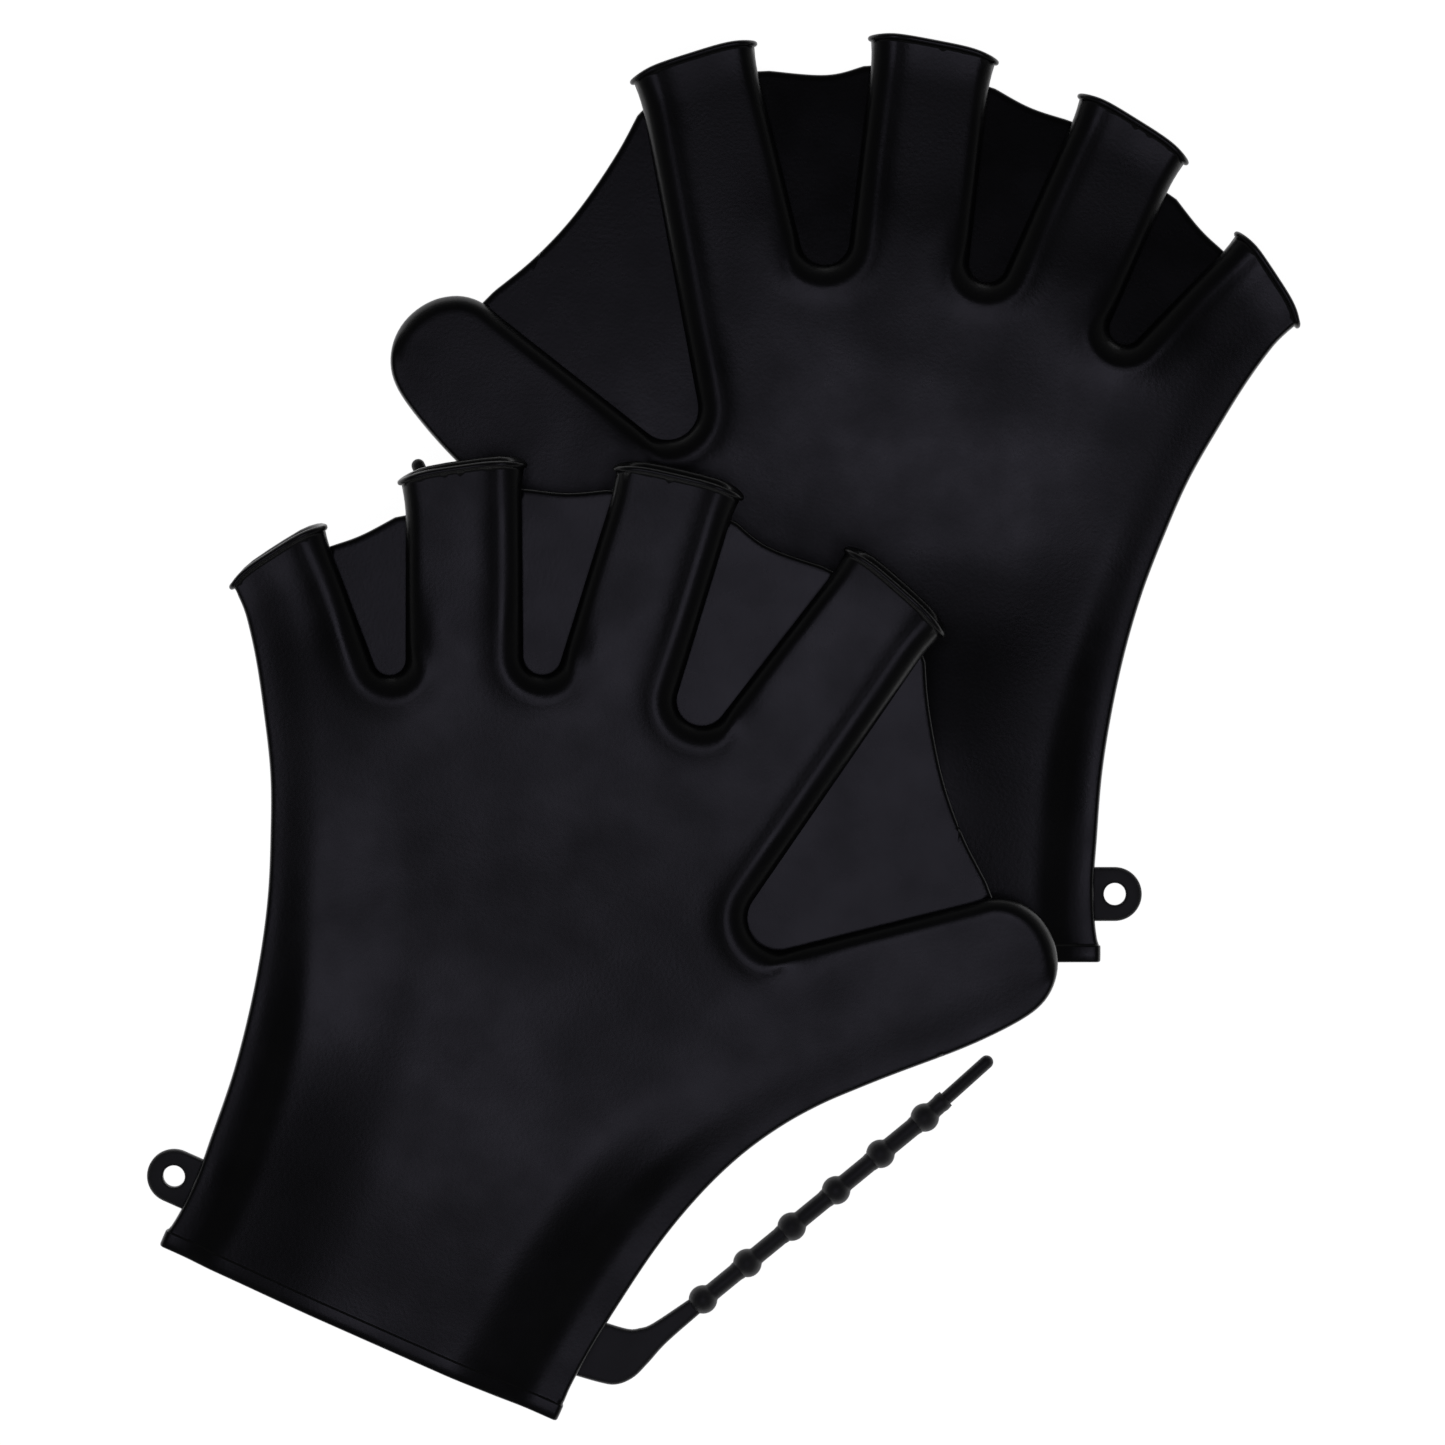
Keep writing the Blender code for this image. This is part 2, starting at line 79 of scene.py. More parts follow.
# each slot between two fingers: the corner its sides run to, the radius rounding it
SLOTS = {
    "little_ring": ((-48.1, 139.8), 4.0),
    "ring_middle": ((-18.1, 145.2), 4.7),
    "middle_index": ((12.5, 146.0), 6.2),
    "thumb": ((42.5, 119.3), 7.8),
}
# the hollow outer edge of each web, from its left finger to its right one
WEB_EDGES = {
    "little_ring": [(-85.4, 177.6), (-79.3, 183.4), (-72.3, 192.3)],
    "ring_middle": [(-47.6, 210.2), (-36.7, 213.8), (-26.5, 219.4)],
    "middle_index": [(3.2, 224.6), (14.2, 221.9), (31.3, 223.2)],
    "thumb": [(60.3, 213.8), (67.0, 201.4), (76.9, 187.1), (87.2, 176.0), (99.4, 166.0)],
}
THUMB_EDGE = (100.3, 164.8)
FOLD = ((-86.0, 137.7), (68.8, 179.0))        # the fingers fold along this line
FOLD_RUN = np.subtract(*FOLD[::-1]) / np.hypot(*np.subtract(*FOLD[::-1]))
FOLD_WAY = np.array((-FOLD_RUN[1], FOLD_RUN[0]))
THUMB_WAY = np.array((0.939, 0.345)) / math.hypot(0.939, 0.345)
THUMB_SEAM = 141.5                            # where the thumb's end is a piece of its own
THUMB_ABOVE = 100.0                           # nothing of that piece is nearer to the cuff

EYELET = (-57.9, 17.0)
EYELET_RADIUS = 2.75
LUG_RADIUS = 6.75
LUG_HALF = 1.5
LUG_ROOT = 7.5          # how far the lug reaches from the eyelet's middle into the cuff's wall
LUG_TURNS = 72
# the lug's section above its middle plane, as how far out and how high: round the eyelet, then outside
EYE_BEVEL = [(0.0, 0.85), (0.06, 1.12), (0.22, 1.34), (0.5, 1.47), (0.9, LUG_HALF), (2.0, LUG_HALF)]
LUG_BEVEL = [(-1.05, LUG_HALF), (-0.6, 1.42), (-0.22, 1.16), (0.0, 0.7)]
TAB_OUTER = [
    (49.8, 10.2), (60.2, 11.6), (64.4, 12.9), (67.5, 16.2), (69.4, 21.0), (71.6, 27.6), (76.6, 38.4),
]
TAB_INNER = [(72.7, 40.4), (66.6, 30.8), (64.0, 28.2), (60.6, 26.6), (49.8, 25.4)]
TAB_HALF = 1.5
TAB_ROUND = 0.85        # how far the rounding of its edges reaches in
TAB_INSETS = (0.06, 0.22, 0.48, 0.85, 1.6)
TAB_SPACING = 1.8
BEADS = 6
BEAD_RADIUS = 3.6
BALL_STEPS = 16
FIRST_BEAD = (75.5, 41.1)
LAST_BEAD = (107.8, 105.2)
NECK_RADIUS = 2.3
NECK_PAST = 0.6         # how far into the next ball a neck's swelling lies
NECK_INTO = 1.5         # and how much farther the neck ends
LAST_NECK = 2.0         # the last bead's neck swells this far outside its own ball
NECK_SWELL = 0.15
SWELL_OVER = 0.9
FILLET_AT = 0.2         # the fillet between ball and neck: where it starts, how far it stands out, its width
FILLET_OUT = 0.09
FILLET_WIDTH = 0.35
TAIL_TIP = (117.0, 125.7)
TAIL_RADIUS = 1.7
TAIL_START = 0.6 * BEAD_RADIUS
STRAP_TURNS = 32

# where each cuff's middle stands, which way the glove is turned, and how steeply it leans
GLOVES = {
    "left": {"at": (40.63, -57.86), "turn": 0.0, "lean": 0.0, "flip": -1.0},
    "right": {"at": (-90.07, -149.36), "turn": -23.9, "lean": 7.0, "flip": 1.0},
}

# the moulding's section
TOP_EDGE = 5.7          # height of the upper face beside its shoulders
CUFF_EDGE = 5.0         # and at the cuff
EDGE_CLIMB = 45.0       # how far from the cuff the one has become the other
TOP_ROUND = 4.6         # width of the upper shoulders
PART = 2.4              # height of the outline itself, where the upper and the lower face meet
LOW_EDGE = 6.9          # depth of the flat underside
LOW_ROUND = 6.0
FLAT = -6.98            # the lowest level, just above the floor that the glove lies on
RIDGE = 0.42            # the low ridge inside each finger's thumb side
RIDGE_AT = 5.3
RIDGE_WIDTH = 1.9
VALLEY = 0.12           # and the shallow hollow beside it
VALLEY_AT = 10.5
VALLEY_WIDTH = 3.6
BAND = 2.6              # width of the level band inside both outer edges
CUFF_BAND = 6.0         # and on the thumb's side below the thumb
BAND_CLIMB = 10.0       # width of the soft climb inside the band
BELOW_THUMB = (45.0, 100.0)     # where that ends, measured from the cuff
THUMB_CLIMB = (0.1, 0.38)       # the climb's share on the thumb's side, and what is added below the thumb
LITTLE_CLIMB = (0.3, 0.18)      # its share on the little finger's side, and what is taken off higher up
LITTLE_CLIMB_OVER = (80.0, 130.0)
CROWN = 3.4             # how far the lower palm rises above the shoulders
CROWN_LOW = (6.5, 15.0)         # from the little finger's side, in a first band
CROWN_HIGH = (11.0, 44.0)       # and a second, broader one
CROWN_SHARES = (0.35, 0.65)
CROWN_THUMB = (8.0, 30.0)       # from the thumb's side
CROWN_END = (50.0, 104.0)       # and it has gone this far from the cuff
SINK = 2.4              # how far the upper palm falls below the fingers' bases, toward the lower palm
SINK_OVER = (-56.0, -6.0)       # measured from the fold
SINK_ABOVE = (38.0, 88.0)       # measured from the cuff
SINK_ACROSS = (0.0, 62.0)       # and gone toward the thumb
SINK_INSIDE = (5.0, 36.0)       # measured from the little finger's side
RELIEF_IN = 9.0         # the palm's relief is whole this far inside the outline
RIDGE_IN = 3.0          # and the ridges this far
# how tall the bulge behind each slot is
PUFFS = {"little_ring": 1.3, "ring_middle": 0.9, "middle_index": 0.6, "thumb": 0.6}
PUFF_AT = 3.0           # how far behind a slot its bulge is highest
PUFF_WIDTH = 10.5
PUFF_REACH = 4.0        # it follows the slot's end this much farther than the end's radius
LENGTHENED = 3.2        # how far each finger's rim reaches past its chord in the middle
ARCH = 1.8              # and how much less at its ends
LENGTHENED_OVER = 12.0  # starting this far behind it
FLARE = 0.8             # how far each end of a finger's mouth opens
CUFF_FLARE = 0.5        # and of the cuff's
FLARE_UP = 0.1          # and how much taller a finger's mouth gets, as a share
FLARE_OVER = 7.0        # both starting this far behind the mouth
RIM_DEPTH = 1.55        # rolled rims of the fingers, measured along them
CUFF_DEPTH = 4.2        # hem of the cuff
TOP_INSETS = (0.08, 0.3, 0.65, 1.1, 1.65, 2.3, 3.05, 3.9, 4.9, 6.1, 7.5)
TOP_SPACING = 2.0
LOW_INSETS = (0.2, 0.9, 2.0, 3.6, 6.0)
LOW_SPACING = 4.0
WEB_HALF = 0.9
WEB_INTO = 1.7          # how far the webs reach into the fingers' walls
THUMB_WEB_INTO = 1.2
WEB_FALL = {"little_ring": 0.055, "ring_middle": 0.05, "middle_index": 0.04}   # slopes toward the edge
WEB_INSETS = (0.05, 0.2, 0.45, 0.9, 1.8)
WEB_SPACING = 3.5

# how the points inside a spread keep off its outline
BEHIND_LINK = 0.5       # a row of them follows each link, this far inside it
OFF_SIDE = 0.4          # that row's distance from the sides
OFF_ROW = 0.35          # and from the rows that follow the sides
OFF_LINK = 0.3          # every row's distance from the links and the seam
NET_OFF_LINK = 0.45     # the net's, in spacings
NET_OFF_ROW = 0.6       # and from the innermost row, in spacings
NET_ROWS = 0.866        # the distance between the net's rows, in spacings


# ---------------------------------------------------------------- plane geometry
def smooth(a, b, x):
    t = np.clip((x - a) / (b - a), 0.0, 1.0)
    return t * t * (3.0 - 2.0 * t)


def bell(x, at, width):
    return np.exp(-(((x - at) / width) ** 2))


def along(points, spacing):
    """The polyline resampled evenly, about spacing apart, with both ends kept."""
    line = np.array(points, float)
    steps = np.hypot(*np.diff(line, axis=0).T)
    reach = np.concatenate([[0.0], np.cumsum(steps)])
    count = max(int(round(reach[-1] / spacing)), 1)
    at = np.linspace(0.0, reach[-1], count + 1)
    return np.column_stack([np.interp(at, reach, line[:, 0]), np.interp(at, reach, line[:, 1])])


def curve(points, steps=12):
    """A smooth line through the points (Catmull-Rom)."""
    p = np.array(points, float)
    ends = np.vstack([2 * p[0] - p[1], p, 2 * p[-1] - p[-2]])
    line = []
    for i in range(1, len(ends) - 2):
        p0, p1, p2, p3 = ends[i - 1:i + 3]
        for k in range(steps):
            t = k / steps
            bend = (2 * p0 - 5 * p1 + 4 * p2 - p3) * t * t + (3 * p1 - p0 - 3 * p2 + p3) * t ** 3
            line.append((2 * p1 + (p2 - p0) * t + bend) / 2)
    return np.vstack(line + [p[-1]])


def fillet(before, corner, after, radius, steps):
    """Points of the arc that rounds a corner between two neighbouring points."""
    c = Vector(corner)
    a = (Vector(before) - c).normalized()
    b = (Vector(after) - c).normalized()
    half = a.angle(b) / 2.0
    centre = c + (a + b).normalized() * (radius / math.sin(half))
    start = c + a * (radius / math.tan(half)) - centre
    end = c + b * (radius / math.tan(half)) - centre
    swing = start.angle(end) * (1.0 if start.x * end.y - start.y * end.x > 0.0 else -1.0)
    points = []
    for i in range(steps + 1):
        turn = Matrix.Rotation(swing * i / steps, 2)
        points.append(centre + turn @ start)
    return np.array(points)


def joined(*parts):
    """Polylines end to end, without repeating the points where they meet."""
    return np.vstack([parts[0]] + [part[1:] for part in parts[1:]])


def with_crossings(line, way, level):
    """The polyline with a point exactly wherever it crosses the line p . way = level: a new one, or the
    nearest one moved there when it is close."""
    height = line @ way - level
    points = [line[0]]
    for i in range(1, len(line)):
        if height[i - 1] * height[i] < 0.0:
            share = height[i - 1] / (height[i - 1] - height[i])
            crossing = line[i - 1] + (line[i] - line[i - 1]) * share
            if share <= 0.25 and i > 1:
                points[-1] = crossing
            else:
                points.append(crossing)
                if not 0.25 < share < 0.75:
                    continue
        points.append(line[i])
    return np.array(points)


def distance(points, line):
    """How far each point is from a polyline."""
    a = line[:-1]
    d = line[1:] - a
    square = (d * d).sum(1)
    near = np.empty(len(points))
    for start in range(0, len(points), 1500):
        p = points[start:start + 1500, None, :] - a
        t = np.clip((p * d).sum(2) / square, 0.0, 1.0)
        near[start:start + 1500] = np.sqrt(((p - d * t[..., None]) ** 2).sum(2)).min(1)
    return near


def inside(points, ring):
    """Which points lie inside a closed ring."""
    a, b = ring, np.roll(ring, -1, 0)
    rise = np.where(b[:, 1] == a[:, 1], 1.0, b[:, 1] - a[:, 1])
    hit = np.empty(len(points), bool)
    for start in range(0, len(points), 3000):
        u, v = points[start:start + 3000, :1], points[start:start + 3000, 1:]
        crosses = (a[:, 1] > v) != (b[:, 1] > v)
        left = u < a[:, 0] + (v - a[:, 1]) * (b[:, 0] - a[:, 0]) / rise
        hit[start:start + 3000] = (crosses & left).sum(1) % 2 == 1
    return hit


def inward(line):
    """Unit normals of a clockwise outline's run, pointing inside."""
    step = np.gradient(line, axis=0)
    step /= np.hypot(*step.T)[:, None]
    return np.column_stack([step[:, 1], -step[:, 0]])


def run_across(a, b, insets, spacing):
    """Points strictly between a and b: at each inset from both ends, and evenly between those."""
    a, b = np.array(a), np.array(b)
    width = np.hypot(*(b - a))
    near = np.array([x for x in insets if x < width / 2 - 0.3 * spacing])
    count = max(int(round((width - 2 * near[-1]) / spacing)), 1)
    middle = np.linspace(near[-1], width - near[-1], count + 1)[1:-1]
    at = np.concatenate([near, middle, (width - near)[::-1]])
    return a + (b - a) * (at / width)[:, None]


def numbered(sides, links):
    """Numbers the points of all the sides, then of all the links. Gives the ring that they form, each side
    followed by the link to the next one, and each link with the points that it joins."""
    starts = np.cumsum([0] + [len(s) for s in sides])
    link_starts = starts[-1] + np.cumsum([0] + [len(x) for x in links])
    ring, runs = [], []
    for k in range(len(sides)):
        run = list(range(link_starts[k], link_starts[k + 1]))
        ring += list(range(starts[k], starts[k + 1])) + run
        runs.append([starts[k + 1] - 1] + run + [starts[(k + 1) % len(sides)]])
    return ring, runs


def side_rows(sides, insets, outline):
    """Rows of points that follow the sides at the insets, without those that come nearer to another side."""
    rows = []
    for side in sides:
        n = inward(side)
        for depth in insets:
            row = side + n * depth
            clear = np.min([distance(row, s) for s in sides], 0)
            rows.append(row[clear > 0.97 * depth])
    rows = np.vstack(rows)
    return rows[inside(rows, outline)]


def link_rows(link_lines, sides, rows, outline):
    """A row of points just inside each link, clear of the sides and of the rows that follow them."""
    behind = np.vstack([(line + inward(line) * BEHIND_LINK)[1:-1] for line in link_lines])
    behind = behind[inside(behind, outline)]
    behind = behind[np.min([distance(behind, s) for s in sides], 0) > OFF_SIDE]
    gaps = np.hypot(behind[:, None, 0] - rows[:, 0], behind[:, None, 1] - rows[:, 1])
    return behind[gaps.min(1) > OFF_ROW]


def middle_net(sides, outline, clear, spacing):
    """A regular net of points over the area, this far clear of its sides."""
    low, high = outline.min(0), outline.max(0)
    net = []
    for j, v in enumerate(np.arange(low[1], high[1], spacing * NET_ROWS)):
        u = np.arange(low[0] + (j % 2) * spacing / 2, high[0], spacing)
        net.append(np.column_stack([u, np.full(len(u), v)]))
    net = np.vstack(net)
    net = net[inside(net, outline)]
    return net[np.min([distance(net, s) for s in sides], 0) > clear]


def spread(sides, links, seam, insets, spacing):
    """Triangles over the area inside a ring of sides, each followed by the link to the next side.
    Rows of points follow the sides at the insets and each link just inside it, and a regular net fills
    the middle. No triangle crosses the seam. Gives points, triangles, and the links and the seam as
    lists of point numbers."""
    ring, link_runs = numbered(sides, links)
    points = np.vstack(list(sides) + [x for x in links if len(x)])
    outline = points[ring]
    edges = [(ring[i - 1], ring[i]) for i in range(len(ring))]
    link_lines = [points[run] for run in link_runs]
    keep_off = list(link_lines)
    seam_run = []
    if seam is not None:
        on_sides = points[:sum(len(s) for s in sides)]
        ends = [int(np.argmin(np.hypot(*(on_sides - p).T))) for p in (seam[0], seam[-1])]
        seam_run = [ends[0]] + [len(points) + i for i in range(len(seam) - 2)] + [ends[1]]
        edges += list(zip(seam_run, seam_run[1:]))
        points = np.vstack([points, seam[1:-1]])
        keep_off.append(seam)
    rows = side_rows(sides, insets, outline)
    behind = link_rows(link_lines, sides, rows, outline)
    net = middle_net(sides, outline, insets[-1] + NET_OFF_ROW * spacing, spacing)
    for free, room in ((behind, OFF_LINK), (rows, OFF_LINK), (net, NET_OFF_LINK * spacing)):
        clear = np.min([distance(free, line) for line in keep_off], 0) > room
        points = np.vstack([points, free[clear]])
    found = delaunay_2d_cdt([Vector(p) for p in points], edges, [], 1, 1e-6)
    own = np.array([old[0] if old else -1 for old in found[3]])
    if (own < 0).any():
        raise ValueError("the outline crosses itself")
    return points, own[np.array(found[2])], link_runs, seam_run


# ---------------------------------------------------------------- the hand's outline
def mouth_ends(name, depth):
    """Both ends of a finger's opening, depth in from its rim."""
    left, right, left_way, right_way = (np.array(x) for x in FINGERS[name])
    across = (right - left) / np.hypot(*(right - left))
    out = np.array((-across[1], across[0]))
    return left - left_way * depth / (left_way @ out), right - right_way * depth / (right_way @ out)


def hand_sides():
    """The five runs of the outline between its openings, clockwise from the cuff's little-finger corner."""
    cuff = CUFF_DEPTH
    ulnar = curve([(-CUFF_HALF, -PAST), (-CUFF_HALF, 0.0)] + ULNAR + [FINGERS["little"][0]])
    ulnar = ulnar[ulnar[:, 1] > cuff + 0.5]
    first = mouth_ends("little", RIM_DEPTH)[0]
    ulnar = ulnar[ulnar[:, 1] < first[1] - 0.5]
    sides = [along(np.vstack([(-CUFF_HALF, cuff), ulnar, first]), 1.5)]
    for i, slot in enumerate(("little_ring", "ring_middle", "middle_index")):
        corner, radius = SLOTS[slot]
        right = FINGERS[NAMES[i]][1]
        left = FINGERS[NAMES[i + 1]][0]
        arc = fillet(right, corner, left, radius, 16)
        start = mouth_ends(NAMES[i], RIM_DEPTH)[1]
        end = mouth_ends(NAMES[i + 1], RIM_DEPTH)[0]
        sides.append(joined(along([start, arc[0]], 1.8), arc, along([arc[-1], end], 1.8)))
    corner, radius = SLOTS["thumb"]
    arc = fillet(FINGERS["index"][1], corner, THUMB_EDGE, radius, 22)
    start = mouth_ends("index", RIM_DEPTH)[1]
    run_in = np.array(THUMB_EDGE) + (arc[-1] - THUMB_EDGE) * 0.12
    tip = curve([run_in] + THUMB_TIP + RADIAL + [(CUFF_HALF, 0.0), (CUFF_HALF, -PAST)])
    tip = np.vstack([tip[tip[:, 1] > cuff + 0.5], (CUFF_HALF, cuff)])
    thumb = joined(along([start, arc[0]], 1.8), arc, along([arc[-1], run_in], 1.8), along(tip, 1.4))
    sides.append(with_crossings(thumb, THUMB_WAY, THUMB_SEAM))
    return sides


def lengthened(side, reach):
    """A run of the outline carried straight on at both ends, past the openings."""
    first = side[0] + (side[0] - side[1]) / np.hypot(*(side[0] - side[1])) * reach
    last = side[-1] + (side[-1] - side[-2]) / np.hypot(*(side[-1] - side[-2])) * reach
    return np.vstack([first, side, last])


def rounded(depth, width):
    """A quarter ellipse: 0 at the edge, 1 from width inward."""
    x = 1.0 - np.clip(depth / width, 0.0, 1.0)
    return np.sqrt(1.0 - x * x)


def shoulder(depth):
    """The upper face's fall toward the outline: gentle at first, tight in its last half millimetre."""
    return 0.2 * rounded(depth, 0.55) + 0.8 * (1.0 - np.clip(1.0 - depth / TOP_ROUND, 0.0, 1.0) ** 3)


def band(depth, width, climb):
    """The same beside both outer edges: a nearly level band of this width, then a soft climb."""
    lip = 0.3 * rounded(depth, 0.4) + (0.7 - climb) * rounded(depth, 0.9)
    return lip + climb * smooth(0.0, BAND_CLIMB, depth - width)


def ridge_lines(sides):
    """The stretches of outline with a ridge inside them: each finger's thumb side."""
    lines = []
    for side, (corner, _) in zip(sides[1:], SLOTS.values()):
        low = int(np.argmin(np.hypot(*(side - np.array(corner)).T)))
        lines.append(lengthened(side, PAST)[:low + 6])
    return lines


def edge_share(points, carried, to_sides):
    """How much of the upper face's height is reached, falling toward the outline. carried holds the
    outline's runs carried on past the openings, and to_sides the points' distances from them."""
    ulnar, radial = to_sides[0], to_sides[-1]
    depth = np.min(to_sides, 0)
    tip = int(np.argmax(carried[-1][1:-1] @ THUMB_WAY)) + 1
    thumb_edge, radial_edge = carried[-1][:tip + 1], carried[-1][tip:]
    outer = np.minimum(ulnar, distance(points, radial_edge))
    inner = np.min(to_sides[1:-1] + [distance(points, thumb_edge)], 0)
    on_thumb_side = ulnar > radial
    below = 1.0 - smooth(*BELOW_THUMB, points[:, 1])
    width = BAND + (CUFF_BAND - BAND) * on_thumb_side * below
    little_climb = LITTLE_CLIMB[0] - LITTLE_CLIMB[1] * smooth(*LITTLE_CLIMB_OVER, points[:, 1])
    climb = np.where(on_thumb_side, THUMB_CLIMB[0] + THUMB_CLIMB[1] * below, little_climb)
    share = smooth(-4.0, 4.0, inner - outer)
    return band(depth, width, climb) * share + shoulder(depth) * (1.0 - share)


def crown(points, ulnar, radial):
    """The lower palm's rise."""
    low, high = CROWN_SHARES
    shelf = low * smooth(*CROWN_LOW, ulnar) + high * smooth(*CROWN_HIGH, ulnar)
    return CROWN * shelf * smooth(*CROWN_THUMB, radial) * (1.0 - smooth(*CROWN_END, points[:, 1]))


def sink(points, ulnar):
    """The upper palm's fall below the fingers' bases."""
    past = (points - np.array(FOLD[0])) @ FOLD_WAY
    fall = SINK * (1.0 - smooth(*SINK_OVER, past)) * smooth(*SINK_ABOVE, points[:, 1])
    fall *= 1.0 - smooth(*SINK_ACROSS, points[:, 0])
    return fall * smooth(*SINK_INSIDE, ulnar)


def puffs(points, sides):
    """The bulge behind each slot."""
    bulges = []
    for side, (slot, tall) in zip(sides[1:], PUFFS.items()):
        corner, radius = SLOTS[slot]
        nearest = side[np.argmin(np.hypot(*(side - np.array(corner)).T))]
        end = side[np.hypot(*(side - nearest).T) < radius + PUFF_REACH]
        bulges.append(tall * bell(distance(points, end), PUFF_AT, PUFF_WIDTH))
    return bulges


def upper(points, sides):
    """Height of the upper face."""
    carried = [lengthened(s, PAST) for s in sides]
    to_sides = [distance(points, line) for line in carried]
    depth, ulnar, radial = np.min(to_sides, 0), to_sides[0], to_sides[-1]
    edge = CUFF_EDGE + (TOP_EDGE - CUFF_EDGE) * smooth(0.0, EDGE_CLIMB, points[:, 1])
    fall = edge_share(points, carried, to_sides)
    ridge = np.min([distance(points, line) for line in ridge_lines(sides)], 0)
    low = RIDGE * bell(ridge, RIDGE_AT, RIDGE_WIDTH) - VALLEY * bell(ridge, VALLEY_AT, VALLEY_WIDTH)
    rise = crown(points, ulnar, radial) - sink(points, ulnar)
    for bulge in puffs(points, sides):
        rise += bulge
    relief = low * smooth(0.0, RIDGE_IN, depth)
    return PART + fall * (edge - PART) + relief + rise * smooth(0.0, RELIEF_IN, depth)


def under(points, sides):
    """Depth of the underside."""
    depth = np.min([distance(points, lengthened(s, PAST)) for s in sides], 0)
    return rounded(depth, LOW_ROUND) * (LOW_EDGE + PART) - PART


# ---------------------------------------------------------------- solid meshes
def vertex_normals(verts, triangles):
    a, b, c = (verts[triangles[:, k]] for k in range(3))
    face = np.cross(b - a, c - a)
    normals = np.zeros_like(verts)
    for k in range(3):
        np.add.at(normals, triangles[:, k], face)
    return normals / np.maximum(np.linalg.norm(normals, axis=1), 1e-12)[:, None]


def two_faced(top, low, shared):
    """Joins an upper and a lower spread, whose first shared points are the same, into one point list."""
    points = np.vstack([top[0], low[0][shared:]])
    shift = len(top[0]) - shared

    def moved(numbers):
        numbers = np.array(numbers)
        return np.where(numbers < shared, numbers, numbers + shift)

    triangles = np.vstack([top[1], moved(low[1])[:, ::-1]])
    loops = [list(a) + list(moved(b)[::-1][1:-1]) for a, b in zip(top[2], low[2])]
    seam = list(top[3]) + list(moved(low[3])[::-1][1:-1]) if len(top[3]) else []
    return points, triangles, loops, seam


def ring_strip(first, second):
    """Quads between two closed loops of point numbers."""
    quads = []
    for i in range(len(first)):
        quads.append((first[i - 1], first[i], second[i], second[i - 1]))
    return quads


# the rolled rim's and the hem's sections: how far out of the wall, how far along it
RIM_SECTION = [
    (0.42, 0.04), (0.82, 0.26), (1.0, 0.68), (0.92, 1.1), (0.58, 1.44), (0.0, 1.55),
    (-0.62, 1.5), (-1.12, 1.25), (-1.45, 0.8),
]
HEM_SECTION = [
    (0.22, 0.0), (0.34, 0.12), (0.38, 0.45), (0.38, 2.2), (0.36, 3.7), (0.2, 4.05), (-0.2, 4.2),
    (-0.8, 4.1), (-1.25, 3.6), (-1.5, 2.4),
]


def face_spread(sides, seam_ends, insets, spacing):
    """One face of the hand: a spread over the outline with the thumb's seam across it."""
    links = []
    for k in range(len(sides)):
        links.append(run_across(sides[k][-1], sides[(k + 1) % len(sides)][0], insets, spacing))
    seam = np.vstack([seam_ends[0], run_across(*seam_ends, insets, spacing), seam_ends[1]])
    return spread(sides, links, seam, insets, spacing)


def flare(verts, points, sides):
    """Opens each mouth a little and carries the fingers' rims forward. Gives each mouth's outward way."""
    ways = []
    for k in range(len(sides)):
        a, b = sides[k][-1], sides[(k + 1) % len(sides)][0]
        run = (b - a) / np.hypot(*(b - a))
        out = np.array((-run[1], run[0]))
        is_cuff = k == len(sides) - 1
        middle = (a + b) / 2
        half = np.hypot(*(b - a)) / 2
        behind = -((points - middle) @ out)
        side = (points - middle) @ run
        near = (behind > -0.5) & (behind < LENGTHENED_OVER) & (np.abs(side) < half + 6.0)
        share = np.where(near, np.clip(1.0 - behind / FLARE_OVER, 0.0, 1.0) ** 2, 0.0)
        wide = (CUFF_FLARE if is_cuff else FLARE) * share * side / half
        verts[:, :2] += wide[:, None] * run
        if not is_cuff:
            reach = np.where(near, np.clip(1.0 - behind / LENGTHENED_OVER, 0.0, 1.05) ** 2, 0.0)
            reach *= LENGTHENED - ARCH * np.clip(np.abs(side) / half, 0.0, 1.1) ** 4
            verts[:, :2] += reach[:, None] * out
            verts[:, 2] *= 1.0 + FLARE_UP * share * np.where(verts[:, 2] > 0.0, 1.0, 0.1)
        ways.append(np.array((*out, 0.0)))
    return ways


